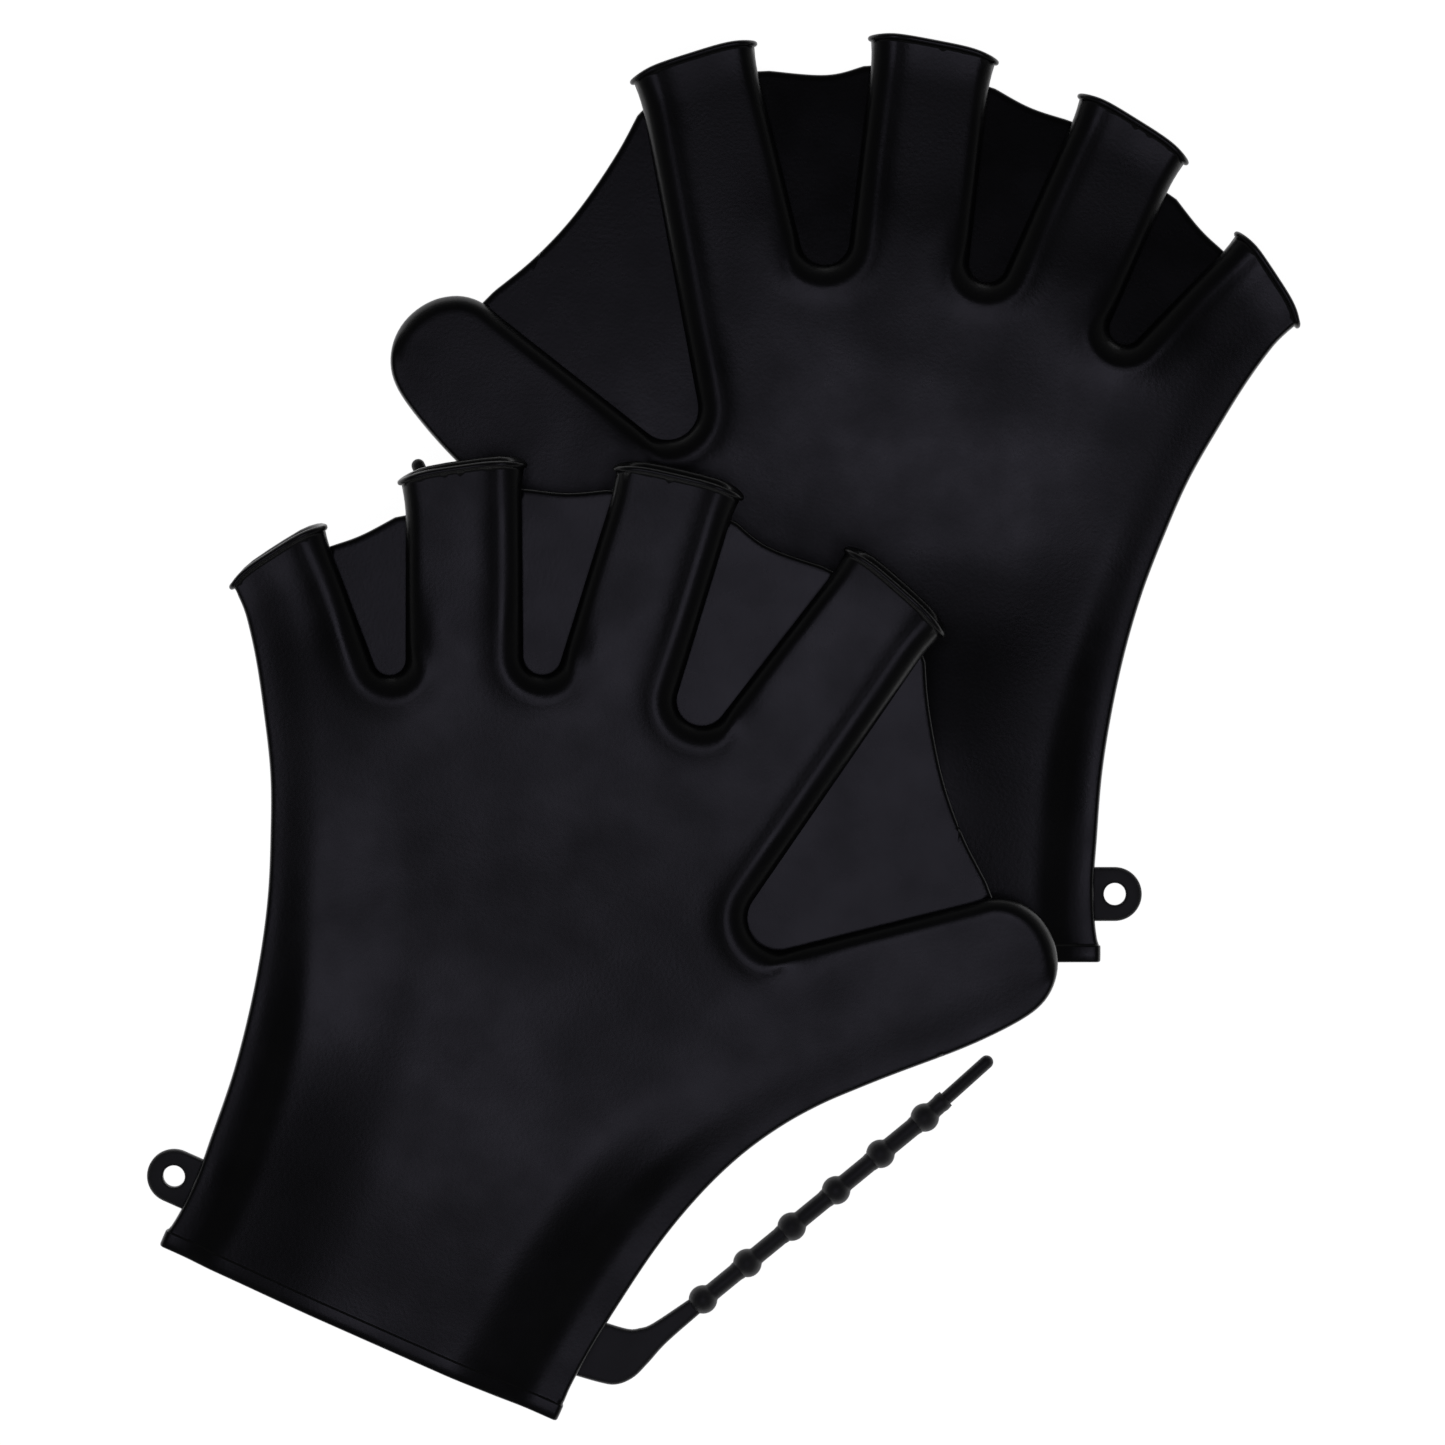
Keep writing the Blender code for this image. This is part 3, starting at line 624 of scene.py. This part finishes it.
def hand_shell():
    """The hollow hand with its rims: points, faces, which faces are the thumb's end, the seam's loops."""
    sides = hand_sides()
    shared = sum(len(s) for s in sides)
    seam_ends = [p for p in sides[-1] if abs(p @ THUMB_WAY - THUMB_SEAM) < 1e-6]
    top = face_spread(sides, seam_ends, TOP_INSETS, TOP_SPACING)
    low = face_spread(sides, seam_ends, LOW_INSETS, LOW_SPACING)
    points, triangles, loops, seam = two_faced(top, low, shared)
    height = np.concatenate([upper(top[0], sides), -under(low[0][shared:], sides)])
    height[:shared] = PART
    verts = np.column_stack([points, height])
    ways = flare(verts, points, sides)
    normals = vertex_normals(verts, triangles)
    for loop, out in zip(loops, ways):
        flat = normals[loop] - np.outer(normals[loop] @ out, out)
        normals[loop] = flat / np.linalg.norm(flat, axis=1)[:, None]
    count = len(verts)
    shell = [verts, verts - normals * WALL]
    faces = [tuple(t) for t in triangles] + [tuple(t[::-1] + count) for t in triangles]
    middle = points[triangles].mean(1)
    thumb = list((middle @ THUMB_WAY > THUMB_SEAM) & (middle[:, 1] > THUMB_ABOVE)) * 2
    total = 2 * count
    sections = [RIM_SECTION] * len(NAMES) + [HEM_SECTION]
    for loop, out, section in zip(loops, ways, sections):
        before = loop
        for away, ahead in section:
            shell.append(verts[loop] + normals[loop] * away + out * ahead)
            numbers = list(range(total, total + len(loop)))
            faces += ring_strip(before, numbers)
            total += len(loop)
            before = numbers
        faces += ring_strip(before, [i + count for i in loop])
    thumb += [False] * (len(faces) - len(thumb))
    shell = np.vstack(shell)
    shell[:, 2] = np.maximum(shell[:, 2], FLAT)
    return shell, faces, thumb, (seam, [i + count for i in seam])


def built(name, verts, faces, matrix, crisp=False):
    """An object from points in millimetres, placed in the world, its faces outward."""
    flat = np.array(matrix)
    world = verts @ flat[:3, :3].T + flat[:3, 3]
    mesh = bpy.data.meshes.new(name)
    mesh.from_pydata(world.tolist(), [], [tuple(int(i) for i in f) for f in faces])
    bm = bmesh.new()
    bm.from_mesh(mesh)
    loose = [v for v in bm.verts if not v.link_faces]
    bmesh.ops.delete(bm, geom=loose, context="VERTS")
    bmesh.ops.recalc_face_normals(bm, faces=bm.faces)
    bm.to_mesh(mesh)
    bm.free()
    mesh.shade_smooth()
    if crisp:
        mesh.set_sharp_from_angle(angle=math.radians(50.0))
    obj = bpy.data.objects.new(name, mesh)
    bpy.context.scene.collection.objects.link(obj)
    return obj


def placing(side):
    """Glove frame in millimetres to the world in metres."""
    lean = Matrix.Rotation(math.radians(side["lean"]), 4, "X")
    return floor_placing(side) @ lean @ Matrix.Translation((0.0, 0.0, SKIRT))


def floor_placing(side):
    """The same, for what lies on the floor beside the glove: w is height above the floor."""
    turn = Matrix.Rotation(math.radians(side["turn"]), 4, "Z")
    flip = Matrix.Diagonal((side["flip"], 1.0, 1.0, 1.0))
    at = Matrix.Translation((side["at"][0], side["at"][1], 0.0))
    return Matrix.Scale(MM, 4) @ at @ turn @ flip


def split_hand(shell, hand, side):
    """The hand and the thumb's end as two closed pieces that meet at the seam with one shading."""
    verts, faces, thumb, (outer, inner) = shell
    whole = built("whole", verts, faces, placing(side))
    normals = np.zeros(len(whole.data.vertices) * 3)
    whole.data.vertex_normals.foreach_get("vector", normals)
    normals = normals.reshape(-1, 3)
    bpy.data.objects.remove(whole)
    pieces = []
    for name, wanted in ((f"{hand}_skin", False), (f"{hand}_thumb_skin", True)):
        own = [f for f, is_thumb in zip(faces, thumb) if is_thumb == wanted]
        own += ring_strip(outer, inner)
        used = np.unique(np.concatenate([np.array(f) for f in own]))
        number = np.full(len(verts), -1)
        number[used] = np.arange(len(used))
        own = [tuple(number[list(f)]) for f in own]
        piece = built(name, verts[used], own, placing(side))
        piece.data.normals_split_custom_set_from_vertices(normals[used].tolist())
        pieces.append(piece)
    return pieces


# ---------------------------------------------------------------- webs, lug, tab
def plate(edge, link, half, rounding, insets, spacing):
    """A flat closed plate of thickness 2 * half, rounded along its edge and square along its link."""
    points, triangles, (run,), _ = spread([edge], [link], None, insets, spacing)
    shared = len(edge)
    height = rounded(distance(points, lengthened(edge, 3.0)), rounding) * half
    height[:shared] = 0.0
    count = len(points)
    below = np.arange(count) + count
    below[:shared] = np.arange(shared)
    verts = np.vstack([np.column_stack([points, height]), np.column_stack([points, -height])])
    faces = [tuple(t) for t in triangles] + [tuple(below[t[::-1]]) for t in triangles]
    for a, b in zip(run, run[1:]):
        quad = [a, b, below[b], below[a]]
        quad = [q for i, q in enumerate(quad) if q != quad[i - 1]]
        if len(quad) > 2:
            faces.append(tuple(quad))
    return verts, faces


def web_sides(name, into):
    """A web's free edge, and the run hidden in the fingers' walls, reaching into them."""
    if name == "thumb":
        left, right = FINGERS["index"][1], THUMB_EDGE
    else:
        i = ("little_ring", "ring_middle", "middle_index").index(name)
        left, right = FINGERS[NAMES[i]][1], FINGERS[NAMES[i + 1]][0]
    corner, radius = SLOTS[name]
    c = np.array(corner)
    a = (np.array(left) - c) / np.hypot(*(np.array(left) - c))
    b = (np.array(right) - c) / np.hypot(*(np.array(right) - c))
    half = math.acos(a @ b) / 2.0
    inner = c - (a + b) / np.hypot(*(a + b)) * (into / math.sin(half))
    arc = fillet(inner + a, inner, inner + b, radius + into, 14)
    edge = curve(WEB_EDGES[name])
    start = c + a * ((edge[0] - c) @ a) - np.array((a[1], -a[0])) * into
    end = c + b * ((edge[-1] - c) @ b) - np.array((-b[1], b[0])) * into
    edge = np.vstack([start, edge[2:-2], end])
    return along(edge, 1.2), joined(along([end, arc[-1]], 4.0), arc[::-1], along([arc[0], start], 4.0))


def web(name):
    """One flat web, sinking toward its free edge."""
    edge, hidden = web_sides(name, WEB_INTO)
    verts, faces = plate(edge, hidden[1:-1], WEB_HALF, WEB_HALF, WEB_INSETS, WEB_SPACING)
    verts[:, 2] -= WEB_FALL[name] * np.maximum(verts[:, 1] - hidden[:, 1].min(), 0.0)
    return verts, faces


def thumb_webs():
    """The large web beside the thumb, in two closed plates that meet at the thumb's seam."""
    edge, hidden = web_sides("thumb", THUMB_WEB_INTO)
    edge = with_crossings(edge, THUMB_WAY, THUMB_SEAM)
    hidden = with_crossings(hidden, THUMB_WAY, THUMB_SEAM)
    plates = []
    for sign in (-1.0, 1.0):
        rim = edge[(edge @ THUMB_WAY - THUMB_SEAM) * sign > -1e-6]
        rest = hidden[(hidden @ THUMB_WAY - THUMB_SEAM) * sign > -1e-6]
        if sign < 0.0:
            back = np.vstack([run_across(rim[-1], rest[0], WEB_INSETS, WEB_SPACING), rest])[:-1]
        else:
            back = np.vstack([rest[1:], run_across(rest[-1], rim[0], WEB_INSETS, WEB_SPACING)])
        plates.append(plate(rim, back, WEB_HALF, WEB_HALF, WEB_INSETS, WEB_SPACING))
    return plates


def lug_plate():
    """The tombstone lug with its bevelled eyelet, as rings of points round the eyelet."""
    section = [(False, *at) for at in EYE_BEVEL] + [(True, *at) for at in LUG_BEVEL]
    section += [(outside, step, -height) for outside, step, height in section[::-1]]
    verts = []
    for k in range(LUG_TURNS):
        angle = 2.0 * math.pi * k / LUG_TURNS
        way = np.array((math.cos(angle), math.sin(angle)))
        reach = LUG_RADIUS
        if way[0] > 0.0:
            reach = min(LUG_RADIUS / max(abs(way[1]), 1e-6), LUG_ROOT / way[0])
        for outside, step, height in section:
            place = np.array(EYELET) + way * (step + (reach if outside else EYELET_RADIUS))
            verts.append((place[0], place[1], height))
    rows = [[k * len(section) + i for k in range(LUG_TURNS)] for i in range(len(section))]
    faces = []
    for i in range(len(section)):
        faces += ring_strip(rows[i - 1], rows[i])
    return np.array(verts), faces


def tab_plate():
    """The bent tab, rounded all round but at its root, level with the strap that it carries."""
    outer = along(curve(TAB_OUTER), 0.9)
    inner = along(curve(TAB_INNER), 0.9)
    tip = along([TAB_OUTER[-1], TAB_INNER[0]], 0.9)
    edge = joined(inner[::-1], tip[::-1], outer[::-1])
    root = along([TAB_OUTER[0], TAB_INNER[-1]], 1.5)[1:-1]
    verts, faces = plate(edge, root, TAB_HALF, TAB_ROUND, TAB_INSETS, TAB_SPACING)
    verts[:, 2] += BEAD_RADIUS
    return verts, faces


# ---------------------------------------------------------------- the beaded strap
def turned(profile):
    """A solid of revolution about u from (distance along, radius) pairs, closed at both ends."""
    verts = [(profile[0][0], 0.0, 0.0), (profile[-1][0], 0.0, 0.0)]
    rows = []
    for at, radius in profile[1:-1]:
        row = []
        for k in range(STRAP_TURNS):
            angle = 2.0 * math.pi * k / STRAP_TURNS
            row.append(len(verts))
            verts.append((at, radius * math.cos(angle), radius * math.sin(angle)))
        rows.append(row)
    faces = []
    for k in range(STRAP_TURNS):
        faces.append((0, rows[0][k], rows[0][k - 1]))
        faces.append((1, rows[-1][k - 1], rows[-1][k]))
    for a, b in zip(rows, rows[1:]):
        faces += ring_strip(a, b)
    return np.array(verts), faces


def bead_profile(neck_end):
    """A ball at the origin with a tight fillet to its neck, which swells at neck_end and runs on."""
    profile = [(-BEAD_RADIUS, 0.0)]
    swing = math.pi - math.asin(NECK_RADIUS / BEAD_RADIUS) - 0.1
    for k in range(1, BALL_STEPS + 1):
        angle = math.pi - swing * k / BALL_STEPS
        profile.append((BEAD_RADIUS * math.cos(angle), BEAD_RADIUS * math.sin(angle)))
    fillet_start = profile[-1][0] + FILLET_AT
    profile.append((fillet_start, NECK_RADIUS + FILLET_OUT))
    profile.append((fillet_start + FILLET_WIDTH, NECK_RADIUS))
    profile += [(neck_end - SWELL_OVER, NECK_RADIUS), (neck_end, NECK_RADIUS + NECK_SWELL)]
    profile += [(neck_end + NECK_INTO, NECK_RADIUS), (neck_end + NECK_INTO, 0.0)]
    return profile


def tail_profile(length):
    """The tail, from inside the last ball to its round tip."""
    profile = [(TAIL_START, 0.0), (TAIL_START, 0.8 * NECK_RADIUS)]
    profile += [(2.0, 0.9 * NECK_RADIUS), (6.0, TAIL_RADIUS)]
    for k in range(8):
        angle = math.pi / 2 * k / 8
        profile.append((length - TAIL_RADIUS + TAIL_RADIUS * math.sin(angle), TAIL_RADIUS * math.cos(angle)))
    profile.append((length, 0.0))
    return profile


def strap_pieces():
    """Each bead with its neck, and the tail, lying on the floor: name, (points, faces, place)."""
    first, last, tip = (np.array(p) for p in (FIRST_BEAD, LAST_BEAD, TAIL_TIP))
    pitch = (last - first) / (BEADS - 1)

    def laid(profile, at, way):
        turn = Matrix.Rotation(math.atan2(way[1], way[0]), 4, "Z")
        return (*turned(profile), Matrix.Translation((at[0], at[1], BEAD_RADIUS)) @ turn)

    pieces = {}
    for k in range(BEADS - 1):
        neck_end = np.hypot(*pitch) - BEAD_RADIUS + NECK_PAST
        pieces[f"strap_bead_{k + 1}"] = laid(bead_profile(neck_end), first + pitch * k, pitch)
    pieces[f"strap_bead_{BEADS}"] = laid(bead_profile(BEAD_RADIUS + LAST_NECK), last, tip - last)
    pieces["strap_tail"] = laid(tail_profile(np.hypot(*(tip - last))), last, tip - last)
    return pieces


# ---------------------------------------------------------------- materials
# the scales of the silicone's noises, over its own coordinates in metres
BLOOM_SCALE = 26.0
SPECK_SCALE = 75.0
WEAR_SCALE = 60.0
GRAIN_SCALE = 1100.0
WAVE_SCALE = 45.0
SILICONE_IOR = 1.43
DUST = (0.25, 0.25, 0.25)
DUST_SHARE = (0.01, 0.014)


def node(tree, kind, **inputs):
    """A node with these values in its inputs; a name's underscores stand for spaces."""
    made = tree.nodes.new(kind)
    for key, value in inputs.items():
        made.inputs[key.replace("_", " ")].default_value = value
    return made


def noise(tree, coords, scale, detail):
    made = node(tree, "ShaderNodeTexNoise", Scale=scale, Detail=detail)
    tree.links.new(coords, made.inputs["Vector"])
    return made.outputs["Fac"]


def ranged(tree, value, low, high, a, b):
    """The value, carried from the range a to b into the range low to high."""
    made = tree.nodes.new("ShaderNodeMapRange")
    for key, number in (("From Min", a), ("From Max", b), ("To Min", low), ("To Max", high)):
        made.inputs[key].default_value = number
    tree.links.new(value, made.inputs["Value"])
    return made.outputs["Result"]


def mixed(tree, factor, a, b):
    """A blend from the colour a to the colour b; either may be a socket."""
    made = tree.nodes.new("ShaderNodeMix")
    made.data_type = "RGBA"
    for key, colour in (("A", a), ("B", b)):
        socket = [s for s in made.inputs if s.name == key and s.type == "RGBA"][0]
        if isinstance(colour, tuple):
            socket.default_value = (*colour, 1.0)
        else:
            tree.links.new(colour, socket)
    tree.links.new(factor, made.inputs["Factor"])
    return [s for s in made.outputs if s.type == "RGBA"][0]


def silicone(name, dark, light, gloss, grain, shine=0.5):
    """Near-black moulded silicone: a faint bloom, uneven sheen, a fine moulded grain and a little dust."""
    material = bpy.data.materials.new(name)
    material.use_nodes = True
    tree = material.node_tree
    shader = tree.nodes["Principled BSDF"]
    shader.inputs["IOR"].default_value = SILICONE_IOR
    shader.inputs["Specular IOR Level"].default_value = shine
    coords = tree.nodes.new("ShaderNodeTexCoord").outputs["Object"]
    bloom = ranged(tree, noise(tree, coords, BLOOM_SCALE, 4.0), 0.0, 1.0, 0.35, 0.7)
    specks = node(tree, "ShaderNodeTexVoronoi", Scale=SPECK_SCALE, Randomness=1.0)
    tree.links.new(coords, specks.inputs["Vector"])
    dust = ranged(tree, specks.outputs["Distance"], 1.0, 0.0, *DUST_SHARE)
    tint = mixed(tree, bloom, dark, light)
    tree.links.new(mixed(tree, dust, tint, DUST), shader.inputs["Base Color"])
    wear = noise(tree, coords, WEAR_SCALE, 5.0)
    tree.links.new(ranged(tree, wear, gloss - 0.05, gloss + 0.06, 0.3, 0.7), shader.inputs["Roughness"])
    fine = node(tree, "ShaderNodeBump", Strength=grain, Distance=0.0002)
    tree.links.new(noise(tree, coords, GRAIN_SCALE, 2.0), fine.inputs["Height"])
    wave = node(tree, "ShaderNodeBump", Strength=0.05, Distance=0.001)
    tree.links.new(noise(tree, coords, WAVE_SCALE, 2.0), wave.inputs["Height"])
    tree.links.new(fine.outputs["Normal"], wave.inputs["Normal"])
    tree.links.new(wave.outputs["Normal"], shader.inputs["Normal"])
    return material


MATERIALS = {
    "silicone_shell": silicone(
        "silicone_shell", dark=(0.0036, 0.0037, 0.0044), light=(0.0050, 0.0051, 0.0060),
        gloss=0.31, grain=0.12,
    ),
    "silicone_web": silicone(
        "silicone_web", dark=(0.0028, 0.0028, 0.0034), light=(0.0040, 0.0040, 0.0048),
        gloss=0.26, grain=0.09, shine=0.43,
    ),
    # the same near-black silicone as the shell, its base colour raised about tenfold as painted light: it
    # stands for the light that the strap's beads, necks, lug and tab catch
    "silicone_strap": silicone(
        "silicone_strap", dark=(0.036, 0.036, 0.037), light=(0.048, 0.048, 0.049),
        gloss=0.45, grain=0.15, shine=0.35,
    ),
}


def finish_piece(piece, slot, nodes=()):
    """Gives a piece the material named by slot, and hides the parts of the frame that it replaces."""
    piece.data.materials.append(MATERIALS[slot])
    if nodes:
        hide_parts(*nodes)
    return piece


def build_glove(hand, side, shell, webs, tip_webs):
    """One glove's pieces: the skin, the thumb's end and the webs placed in the world, the lug, the tab and
    the strap's pieces each riding on its body.
    """
    palm, fingers, thumb = f"{hand}_palm", f"{hand}_fingers", f"{hand}_thumb"
    to_world = placing(side)

    skin, thumb_skin = split_hand(shell, hand, side)
    covered = [f"{hand}_palm_shell", f"{hand}_knuckle_band"] + [f"{hand}_{name}_sleeve" for name in NAMES]
    finish_piece(skin, "silicone_shell", covered)
    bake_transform(skin)
    finish_piece(thumb_skin, "silicone_shell", [f"{hand}_thumb_pocket"])
    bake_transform(thumb_skin)

    for name, (verts, faces) in webs.items():
        piece = built(f"{hand}_web_{name}", verts, faces, to_world, crisp=True)
        finish_piece(piece, "silicone_web", [f"{hand}_{name}_web"])
        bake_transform(piece)
    (verts, faces), (tip_verts, tip_faces) = tip_webs
    piece = built(f"{hand}_web_thumb", verts, faces, to_world, crisp=True)
    finish_piece(piece, "silicone_web", [f"{hand}_thumb_web_upper", f"{hand}_thumb_web_lower"])
    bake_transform(piece)
    piece = built(f"{hand}_web_thumb_corner", tip_verts, tip_faces, to_world, crisp=True)
    finish_piece(piece, "silicone_web")
    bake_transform(piece)

    lug = built(f"{hand}_lug", *lug_plate(), to_world, crisp=True)
    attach(finish_piece(lug, "silicone_strap", [f"{hand}_strap_lug"]), palm)
    tab = built(f"{hand}_tab", *tab_plate(), floor_placing(side), crisp=True)
    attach(finish_piece(tab, "silicone_strap", [f"{hand}_strap_tab"]), palm)
    for name, (verts, faces, where) in strap_pieces().items():
        piece = built(f"{hand}_shown_{name}", verts, faces, floor_placing(side) @ where)
        finish_piece(piece, "silicone_strap", [f"{hand}_{name}"])
        number = BEADS if name == "strap_tail" else int(name[-1])
        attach(piece, f"{hand}_strap_{number}")


# ---------------------------------------------------------------- floor, light, camera, in metres
FLOOR_SIZE = 14.0
FLOOR_LEVEL = -0.0002
FLOOR_GLOW = 0.95
# the world's brightness by direction, from the horizon (0) to straight up (1)
WORLD_STOPS = ((0.0, 0.32), (0.1, 0.2), (0.3, 0.12), (0.6, 0.06), (1.0, 0.03))
# where each light stands, its width and length, its power
LIGHTS = {
    "overhead": ((-0.06, -0.2, 1.1), (0.34, 0.7), 0.53),
    "overhead_side": ((0.12, -0.13, 1.09), (0.14, 0.14), 0.09),
}
LIGHT_COLOUR = (0.97, 0.93, 1.2)
CAMERA_AT = (0.00048, 0.00201, 3.0)
SENSOR_WIDTH = 36.0     # in millimetres
VIEW_WIDTH = 0.36125    # what the camera sees across, at this level above the floor
VIEW_LEVEL = 0.007


def make_floor():
    """A white floor that glows, so that it stays white under the gloves."""
    bpy.ops.mesh.primitive_plane_add(size=FLOOR_SIZE, location=(0.0, 0.0, FLOOR_LEVEL))
    floor = bpy.context.object
    floor.name = "floor"
    material = bpy.data.materials.new("floor")
    material.use_nodes = True
    shader = material.node_tree.nodes["Principled BSDF"]
    shader.inputs["Base Color"].default_value = (0.9, 0.9, 0.9, 1.0)
    shader.inputs["Roughness"].default_value = 0.9
    shader.inputs["Specular IOR Level"].default_value = 0.1
    shader.inputs["Emission Color"].default_value = (1.0, 1.0, 1.0, 1.0)
    shader.inputs["Emission Strength"].default_value = FLOOR_GLOW
    floor.data.materials.append(material)


def make_world():
    """White light from low all round, nearly none from above."""
    world = bpy.data.worlds.new("studio")
    bpy.context.scene.world = world
    world.use_nodes = True
    tree = world.node_tree
    coords = tree.nodes.new("ShaderNodeTexCoord").outputs["Generated"]
    split = tree.nodes.new("ShaderNodeSeparateXYZ")
    tree.links.new(coords, split.inputs["Vector"])
    ramp = tree.nodes.new("ShaderNodeValToRGB")
    tree.links.new(split.outputs["Z"], ramp.inputs["Fac"])
    ramp.color_ramp.elements[0].position = WORLD_STOPS[0][0]
    ramp.color_ramp.elements[1].position = WORLD_STOPS[-1][0]
    for position, _ in WORLD_STOPS[1:-1]:
        ramp.color_ramp.elements.new(position)
    for element, (_, level) in zip(ramp.color_ramp.elements, WORLD_STOPS):
        element.color = (level, level, level, 1.0)
    tree.links.new(ramp.outputs["Color"], tree.nodes["Background"].inputs["Color"])
    tree.nodes["Background"].inputs["Strength"].default_value = 1.0


def soft_light(name, place, size, power):
    """An area light that looks at the middle of the floor and is not seen itself."""
    light = bpy.data.lights.new(name, "AREA")
    light.shape = "RECTANGLE"
    light.size, light.size_y = size
    light.energy = power
    light.color = LIGHT_COLOUR
    obj = bpy.data.objects.new(name, light)
    obj.location = place
    obj.rotation_euler = (-Vector(place)).to_track_quat("-Z", "Y").to_euler()
    obj.visible_camera = False
    bpy.context.scene.collection.objects.link(obj)


def make_camera():
    """Straight above, far enough off for almost no perspective."""
    camera = bpy.data.cameras.new("camera")
    camera.sensor_width = SENSOR_WIDTH
    camera.lens = SENSOR_WIDTH * (CAMERA_AT[2] - VIEW_LEVEL) / VIEW_WIDTH
    camera.clip_end = 40.0
    obj = bpy.data.objects.new("camera", camera)
    obj.location = CAMERA_AT
    bpy.context.scene.collection.objects.link(obj)
    bpy.context.scene.camera = obj


make_camera()
make_floor()
make_world()
for LIGHT, SETTING in LIGHTS.items():
    soft_light(LIGHT, *SETTING)
bpy.context.scene.view_settings.view_transform = "Standard"

SHELL = hand_shell()
WEBS = {name: web(name) for name in ("little_ring", "ring_middle", "middle_index")}
TIP_WEBS = thumb_webs()
for HAND, SIDE in GLOVES.items():
    build_glove(HAND, SIDE, SHELL, WEBS, TIP_WEBS)
